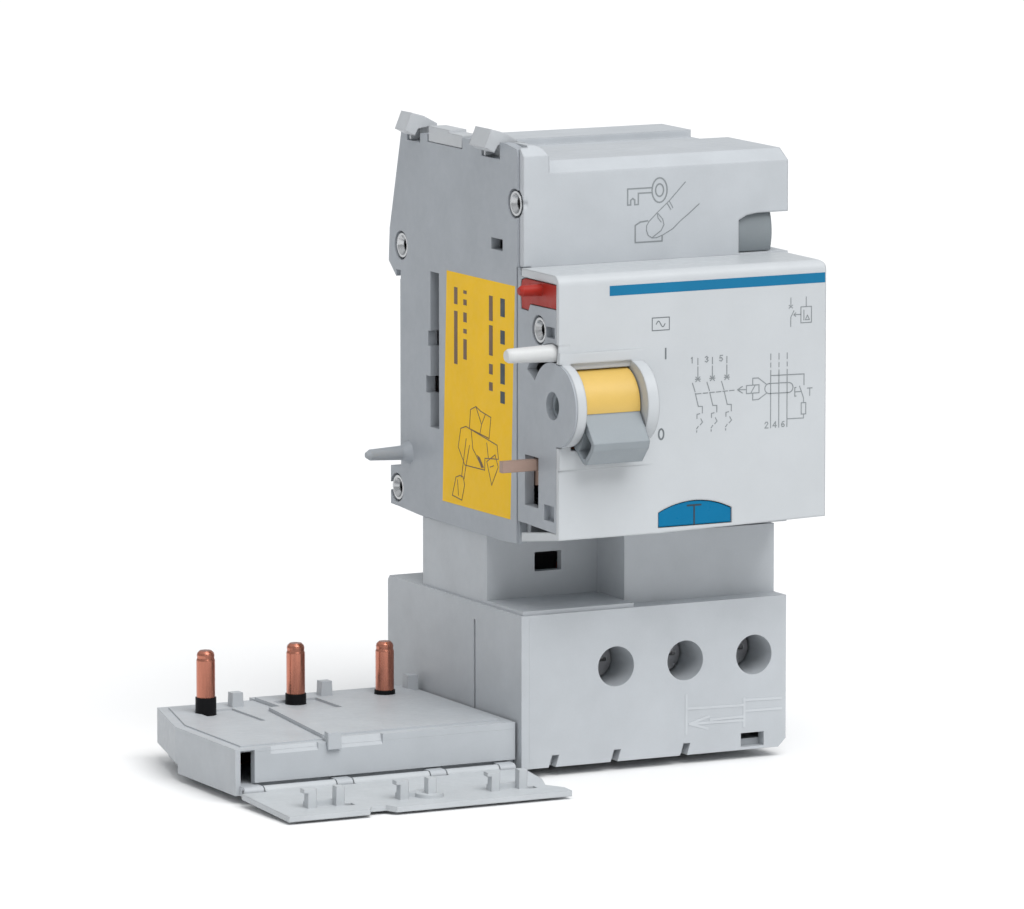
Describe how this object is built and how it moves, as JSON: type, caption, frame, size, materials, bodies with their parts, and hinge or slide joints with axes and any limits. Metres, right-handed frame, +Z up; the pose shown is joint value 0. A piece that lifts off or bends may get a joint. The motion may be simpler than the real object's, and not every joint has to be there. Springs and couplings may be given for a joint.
{
  "type": "residual current device",
  "caption": "Modular residual current block for rail mounting with toggle, test button, screw terminals, side coupling parts and a sliding tray with contact pins and hinged flap.",
  "frame": {"origin": "middle of the face that rests on the 35 mm mounting rail", "axes": "+Z up, +Y toward the wall, +X to the right as seen from the front; the front cover faces -Y"},
  "size_m": [0.1071, 0.074, 0.1127],
  "materials": {
    "housing_grey": "fine moulded texture",
    "cover_white": "smooth satin",
    "clip_grey": "smooth moulded",
    "rivet_steel": "plated",
    "label_yellow": "printed film",
    "toggle_grey": "satin",
    "toggle_yellow": "satin",
    "pin_white": "satin",
    "interlock_red": "satin",
    "spring_steel": "drawn wire",
    "lever_brown": "moulded",
    "steel": "turned",
    "button_blue": "smooth",
    "spring_brass": "strip",
    "button_dark": "satin",
    "latch_dark": "moulded",
    "core_black": "coated",
    "copper": "bare copper",
    "insulation_red": "cable insulation",
    "relay_black": "moulded",
    "board_green": "solder mask",
    "part_black": "moulded",
    "screw_steel": "zinc plated",
    "cage_zinc": "yellow zinc plated",
    "tray_grey": "fine moulded texture",
    "pin_copper": "bare copper",
    "sleeve_black": "heat-shrunk",
    "flap_grey": "fine moulded texture"
  },
  "bodies": {
    "housing": {"left_side_plate": "housing_grey", "main_housing": "housing_grey", "front_cover": "cover_white", "terminal_base": "housing_grey", "base_side_plate": "housing_grey", "housing_rivets": "rivet_steel", "info_label": "label_yellow", "coupling_hooks": "clip_grey", "interlock_spring": "spring_steel", "trip_lever_pin": "steel", "test_contact_spring": "spring_brass", "release_spring": "spring_steel", "rail_latch_spring": "spring_steel", "toroid_core": "core_black", "secondary_winding": "copper", "primary_conductors": "insulation_red", "output_busbars": "copper", "trip_relay": "relay_black", "circuit_board": "board_green", "board_parts": "part_black"},
    "toggle": {"toggle_lever": "toggle_grey", "toggle_flag": "toggle_yellow"},
    "rotor": {"trip_rotor": "pin_white"},
    "interlock": {"interlock_slider": "interlock_red"},
    "trip_arm": {"trip_lever": "lever_brown"},
    "test": {"test_button": "button_blue"},
    "release": {"release_button": "button_dark"},
    "latch": {"rail_latch": "latch_dark"},
    "plunger": {"relay_plunger": "steel"},
    "tray": {"tray_body": "tray_grey", "tray_cover_left": "tray_grey", "tray_cover_right": "tray_grey", "tray_busbars": "copper", "contact_pins": "pin_copper", "pin_sleeves": "sleeve_black", "flap_hinge_pin": "steel"},
    "flap": {"terminal_flap": "flap_grey"},
    "screw_1": {"terminal_screw_1": "screw_steel"},
    "cage_1": {"terminal_cage_1": "cage_zinc"},
    "screw_2": {"terminal_screw_2": "screw_steel"},
    "cage_2": {"terminal_cage_2": "cage_zinc"},
    "screw_3": {"terminal_screw_3": "screw_steel"},
    "cage_3": {"terminal_cage_3": "cage_zinc"}
  },
  "joints": [
    {"name": "tray_slide", "type": "slide", "parent": "housing", "child": "tray", "axis": [0, 0, 1], "range_m": [0, 0.015]},
    {"name": "flap_hinge", "type": "hinge", "parent": "tray", "child": "flap", "pos_m": [-0.05225, -0.0472, -0.06455], "axis": [-1, 0, 0], "range_deg": [0, 92.6]},
    {"name": "toggle_turn", "type": "hinge", "parent": "housing", "child": "toggle", "pos_m": [-0.0179, -0.059, 0.0005], "axis": [-1, 0, 0], "range_deg": [0, 80]},
    {"name": "rotor_turn", "type": "hinge", "parent": "housing", "child": "rotor", "pos_m": [-0.02375, -0.059, 0.0005], "axis": [-1, 0, 0], "range_deg": [0, 50], "stiffness_Nm_per_rad": 0.004, "springref_deg": -34.38},
    {"name": "interlock_press", "type": "slide", "parent": "housing", "child": "interlock", "axis": [1, 0, 0], "range_m": [0, 0.0035], "stiffness_N_per_m": 200, "springref_m": -0.003, "deforming": ["interlock_spring"]},
    {"name": "trip_arm_turn", "type": "hinge", "parent": "housing", "child": "trip_arm", "pos_m": [-0.02245, -0.0412, -0.014], "axis": [1, 0, 0], "range_deg": [0, 28], "stiffness_Nm_per_rad": 0.004, "springref_deg": -34.38},
    {"name": "test_press", "type": "slide", "parent": "housing", "child": "test", "axis": [0, 1, 0], "range_m": [0, 0.0015], "stiffness_N_per_m": 400, "springref_m": -0.001},
    {"name": "release_press", "type": "slide", "parent": "housing", "child": "release", "axis": [0, 1, 0], "range_m": [0, 0.002], "stiffness_N_per_m": 300, "springref_m": -0.002, "deforming": ["release_spring"]},
    {"name": "rail_latch_slide", "type": "slide", "parent": "housing", "child": "latch", "axis": [0, 0, -1], "range_m": [0, 0.003], "stiffness_N_per_m": 400, "springref_m": -0.003, "deforming": ["rail_latch_spring"]},
    {"name": "plunger_slide", "type": "slide", "parent": "housing", "child": "plunger", "axis": [-1, 0, 0], "range_m": [0, 0.0015]},
    {"name": "screw_1_turn", "type": "hinge", "parent": "housing", "child": "screw_1", "pos_m": [-0.00765, -0.0332, -0.0481], "axis": [0, 1, 0], "range_deg": [0, 1980]},
    {"name": "cage_1_slide", "type": "slide", "parent": "housing", "child": "cage_1", "axis": [0, -1, 0], "range_m": [0, 0.0044]},
    {"name": "screw_2_turn", "type": "hinge", "parent": "housing", "child": "screw_2", "pos_m": [0.00607, -0.0332, -0.0481], "axis": [0, 1, 0], "range_deg": [0, 1980]},
    {"name": "cage_2_slide", "type": "slide", "parent": "housing", "child": "cage_2", "axis": [0, -1, 0], "range_m": [0, 0.0044]},
    {"name": "screw_3_turn", "type": "hinge", "parent": "housing", "child": "screw_3", "pos_m": [0.0198, -0.0332, -0.0481], "axis": [0, 1, 0], "range_deg": [0, 1980]},
    {"name": "cage_3_slide", "type": "slide", "parent": "housing", "child": "cage_3", "axis": [0, -1, 0], "range_m": [0, 0.0044]}
  ],
  "couplings": [
    {"joint": "screw_1_turn", "follows": "cage_1_slide", "rad_per_m": 7854},
    {"joint": "screw_2_turn", "follows": "cage_2_slide", "rad_per_m": 7854},
    {"joint": "screw_3_turn", "follows": "cage_3_slide", "rad_per_m": 7854}
  ]
}
